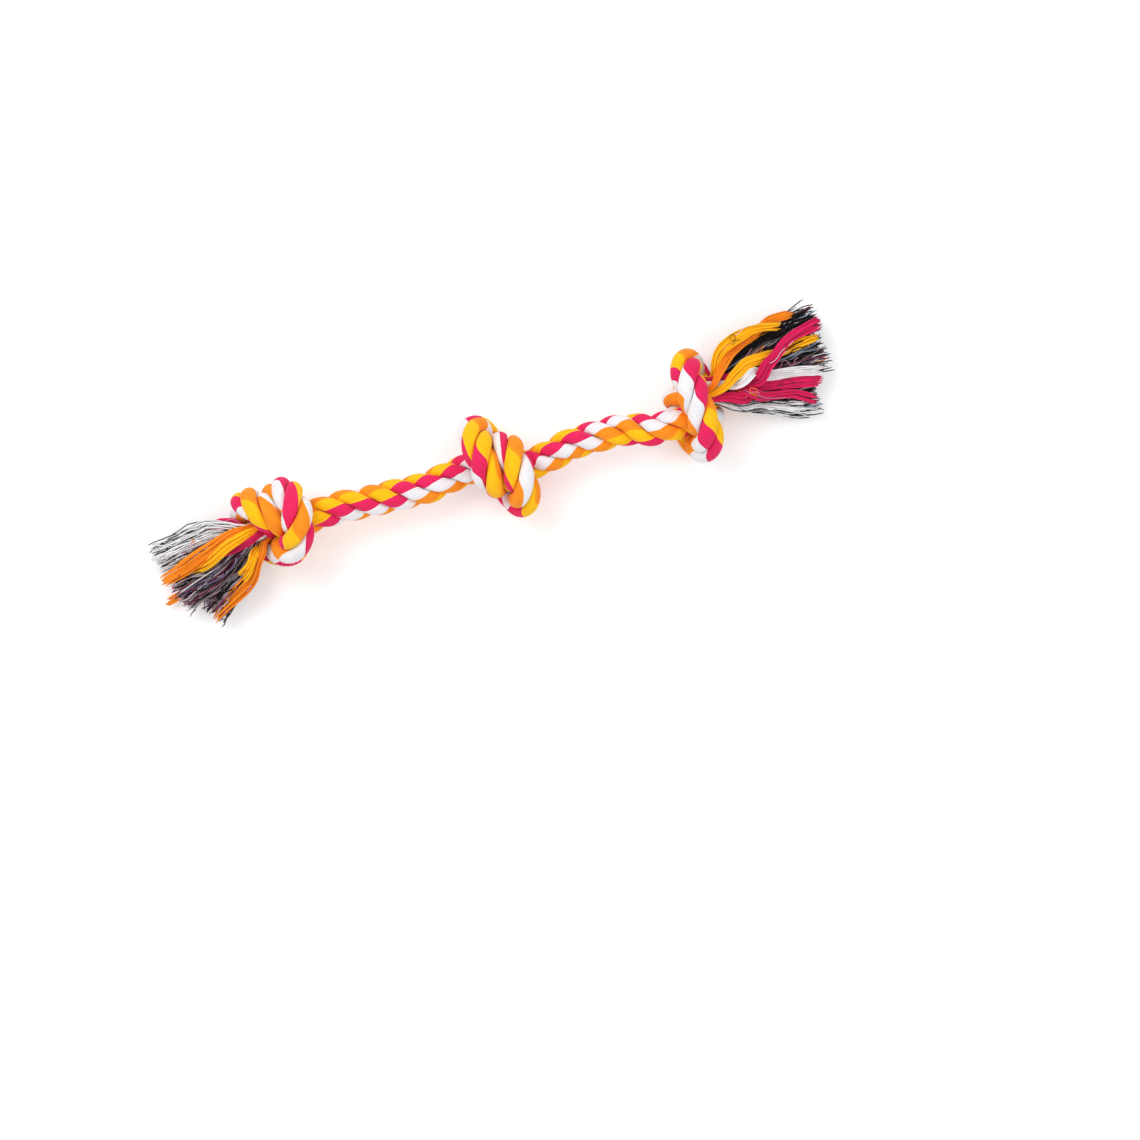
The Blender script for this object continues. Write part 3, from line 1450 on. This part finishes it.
    def yarn_lines(self, group: Group, way: np.ndarray, random: np.random.Generator) -> np.ndarray:
        """Lay out a group's yarns.

        Args:
            group: The group.
            way: The way that its middle follows.
            random: The random numbers.

        Returns:
            The line of each yarn, yarn by yarn.
        """
        fine, across, rise = self.level_band(way)
        length = line_length(fine)
        rules, cell = self.bundle, self.root_width
        (a, b), (tip_a, tip_b) = self.places_across(group, random)
        swell, roll = random.uniform(size=2)
        lines = []
        for k in range(group.yarns):
            end = 1 - abs(random.normal(0, group.fray * MM)) / length
            u = np.linspace(0, 1, self.yarn_points) * end
            at, low = places_along(fine, u)
            grown = smooth_step(np.minimum(u * length / (self.rules.grow + self.tuck), 1.0))
            width = (cell + ((group.widths[0] + (group.widths[1] - group.widths[0]) * u) * MM - cell) * grown) / 2
            thick = (cell + (group.thick * MM - cell) * grown) / 2
            if group.ribbon:
                width *= 1 + rules.ripple * np.sin(TURN * (rules.swells * u + swell))
            turn = np.radians(group.twist) * (u - 0.5 + np.sin(TURN * (rules.sways * u + roll)))
            ease = u * u
            p = (a[k] + (tip_a[k] - a[k]) * ease) * width
            q = (b[k] + (tip_b[k] - b[k]) * ease) * thick
            wave = np.zeros((self.yarn_points, 2))
            wild = rules.wild if not group.ribbon and random.uniform() < rules.wild_share else 1.0
            for turns, share in rules.waves:
                size = random.normal(0, wild * group.looseness * share, 2) * MM
                wave += size * np.sin(TURN * (turns * u[:, None] + random.uniform(0, 1, 2))) * u[:, None]
            x = p * np.cos(turn) - q * np.sin(turn) + wave[:, 0]
            y = p * np.sin(turn) + q * np.cos(turn) + wave[:, 1]
            line = at + x[:, None] * across[low] + y[:, None] * rise[low]
            line[:, 2] = np.maximum(line[:, 2], group.yarn_radius * MM)
            lines.append(line)
        return np.array(lines)

    def build_group(
        self, group: Group, way: np.ndarray, random: np.random.Generator, material: bpy.types.Material
    ) -> bpy.types.Object:
        """Make one group.

        Args:
            group: The group.
            way: The way that its middle follows.
            random: The random numbers.
            material: Its cotton.

        Returns:
            The group's piece.
        """
        sides = self.ribbon_sides if group.ribbon else self.loose_sides
        lines = self.yarn_lines(group, way, random)
        kind = group.colour.value
        name = f"{self.side.value}_{kind}_yarns_{group.strand}"
        piece = yarn_piece(name, lines, group.yarn_radius * MM, sides, material)
        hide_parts(f"{self.side.value}_tassel_{group.strand}_{kind}")
        return piece

    def stray_lines(self, ways: list[np.ndarray], random: np.random.Generator) -> np.ndarray:
        """Lay out thin threads that have worked loose and lie curled over the tassel.

        Args:
            ways: The ways of the tassel's groups.
            random: The random numbers.

        Returns:
            The line of each thread.
        """
        rules, lines = self.strays, []
        carriers = sorted(range(len(ways)), key=lambda i: -ways[i][:, 2].mean())[: self.topmost]
        carriers += 2 * [i for i, group in enumerate(self.groups) if group.colour is YarnColour.CORE]
        t = np.linspace(0, 1, rules.points)
        for _ in range(self.stray_threads):
            pick = carriers[int(random.integers(len(carriers)))]
            group = self.groups[pick]
            fine, across, rise = self.level_band(ways[pick])
            reach = line_length(fine)
            length = min(random.uniform(*rules.lengths) * MM, rules.longest * reach)
            loop = TURN * int(random.integers(-1, 2)) * (random.uniform() < 0.5)
            waves, start = random.uniform(*rules.waves), random.uniform()
            heading = random.normal(0, rules.heading) + loop * smooth_step(t)
            heading += random.normal(0, rules.swing) * np.sin(TURN * (waves * t + start))
            step = length / len(t)
            near, far = rules.window
            travelled = random.uniform(near * reach, far * reach - length) + step * np.cumsum(np.cos(heading))
            half = 0.5 * group.widths[0] * MM
            x = random.uniform(-rules.aside, rules.aside) * half + step * np.cumsum(np.sin(heading))
            x = half * np.tanh(x / half)
            lift = (group.thick / 2 + random.uniform(*rules.lifts) + rules.rise * t) * MM
            at, low = places_along(fine, np.clip(travelled / reach, 0, rules.far_end))
            lines.append(at + x[:, None] * across[low] + lift[:, None] * rise[low])
        return np.array(lines)

    def build(
        self,
        ribbons: dict[YarnColour, bpy.types.Material],
        fluff: dict[YarnColour, bpy.types.Material],
        stray: bpy.types.Material,
    ) -> None:
        """Make all the groups and the stray threads over them.

        Args:
            ribbons: The cotton of the groups that hold together, by colour.
            fluff: The cotton of the groups that have spread apart, by colour.
            stray: The cotton of the stray threads.
        """
        random = np.random.default_rng(self.seed)
        ways = self.ways()
        for group, way in zip(self.groups, ways):
            cotton = (ribbons if group.ribbon else fluff)[group.colour]
            piece = self.build_group(group, way, random, cotton)
            log.info("%s: %d faces", piece.name, len(piece.data.polygons))
        name, lines = f"{self.side.value}_stray_threads", self.stray_lines(ways, random)
        piece = yarn_piece(name, lines, self.strays.radius, self.strays.sides, stray)
        log.info("%s: %d faces", piece.name, len(piece.data.polygons))


# --------------------------------------------------------------------------------------- the studio


@dataclass
class Studio:
    """The pale floor, the soft light and the camera over the toy.

    Attributes:
        lens: The camera's focal length in millimetres.
        view_width: The width of the picture at the toy.
        target: The place on the toy's level that the camera looks at.
        turn: The camera's turn about the vertical, in degrees.
        soft: The colour of the light from all round, and soft_strength its strength.
        floor_size: Half the floor's width.
        floor_grey: How bright the floor is, and floor_glow how much it shines where the camera sees it.
        lamps: The name, place, size and power of each lamp.
    """

    lens: float = 100.0
    view_width: float = 691 * MM
    target: tuple[float, float, float] = (23.5 * MM, -72.7 * MM, 25 * MM)
    turn: float = -19.2
    soft: tuple[float, float, float, float] = (0.99, 0.99, 1.0, 1.0)
    soft_strength: float = 0.77
    floor_size: float = 3.0
    floor_grey: float = 0.93
    floor_glow: float = 0.2
    lamps: tuple[tuple[str, tuple[float, float, float], float, float], ...] = (
        ("key", (-0.5, 0.9, 1.5), 1.0, 11.0),
        ("fill", (0.9, -0.5, 1.6), 1.4, 5.0),
    )

    def camera(self) -> None:
        """Set the camera straight over the floor."""
        data = bpy.data.cameras.new("photo_camera")
        data.lens = self.lens
        away = self.view_width * self.lens / data.sensor_width
        data.clip_end = 10.0
        camera = added("photo_camera", data)
        camera.location = Vector(self.target) + Vector((0.0, 0.0, away))
        camera.rotation_euler = (0.0, 0.0, math.radians(self.turn))
        bpy.context.scene.camera = camera

    def world(self) -> None:
        """Light the toy evenly from all round, white where the camera sees it."""
        world = bpy.data.worlds.new("studio")
        bpy.context.scene.world = world
        world.use_nodes = True
        tree = world.node_tree
        tree.nodes.clear()
        output = tree.nodes.new("ShaderNodeOutputWorld")
        mixed = tree.nodes.new("ShaderNodeMixShader")
        rays = tree.nodes.new("ShaderNodeLightPath")
        soft, white = tree.nodes.new("ShaderNodeBackground"), tree.nodes.new("ShaderNodeBackground")
        soft.inputs["Color"].default_value = self.soft
        soft.inputs["Strength"].default_value = self.soft_strength
        white.inputs["Color"].default_value = (1.0, 1.0, 1.0, 1.0)
        tree.links.new(rays.outputs["Is Camera Ray"], mixed.inputs[0])
        tree.links.new(soft.outputs[0], mixed.inputs[1])
        tree.links.new(white.outputs[0], mixed.inputs[2])
        tree.links.new(mixed.outputs[0], output.inputs[0])

    def lamp(self, name: str, place: tuple[float, float, float], size: float, power: float) -> None:
        """Add a soft square lamp that shines at the toy."""
        data = bpy.data.lights.new(name, "AREA")
        data.size, data.energy = size, power
        lamp = added(name, data)
        lamp.location = place
        lamp.rotation_euler = (-Vector(place)).to_track_quat("-Z", "Y").to_euler()

    def floor(self) -> None:
        """Lay the pale floor."""
        work = bmesh.new()
        bmesh.ops.create_grid(work, x_segments=1, y_segments=1, size=self.floor_size)
        mesh = bpy.data.meshes.new("floor")
        work.to_mesh(mesh)
        work.free()
        recipe = Recipe("pale_floor")
        rays = recipe.step("ShaderNodeLightPath", {}).outputs["Is Camera Ray"]
        recipe.feed(
            recipe.shader,
            {
                "Base Color": (self.floor_grey, self.floor_grey, self.floor_grey, 1.0),
                "Roughness": 0.9,
                "Specular IOR Level": 0.0,
                "Emission Color": (1.0, 1.0, 1.0, 1.0),
                "Emission Strength": recipe.sum("MULTIPLY", rays, self.floor_glow),
            },
        )
        mesh.materials.append(recipe.material)
        floor = added("floor", mesh)

    def build(self) -> None:
        """Set up the whole studio."""
        bpy.context.scene.view_settings.view_transform = "Standard"
        self.camera()
        self.world()
        for lamp in self.lamps:
            self.lamp(*lamp)
        self.floor()


def main() -> None:
    """Build the studio, the rope and its tassels, and report each piece."""
    logging.basicConfig(level=logging.INFO, format="%(message)s")
    Studio().build()
    rope = KnottedRope()
    sections = rope.sections()
    LaidRope(rope, sections).build()
    ribbons = {colour: finish.material() for colour, finish in RIBBON_FINISHES.items()}
    whites, stray = MIXED_WHITES.material(), STRAY_FINISH.material()
    for tassel in (
        Tassel(Side.LEFT, LEFT_GROUPS, rope, sections, 66 * MM, 11),
        Tassel(Side.RIGHT, RIGHT_GROUPS, rope, sections, 78 * MM, 12, stray_threads=30),
    ):
        fluff = {YarnColour.WHITE: whites, YarnColour.CORE: CORE_FINISHES[tassel.side].material()}
        tassel.build(ribbons, fluff, stray)


if __name__ == "__main__":
    main()
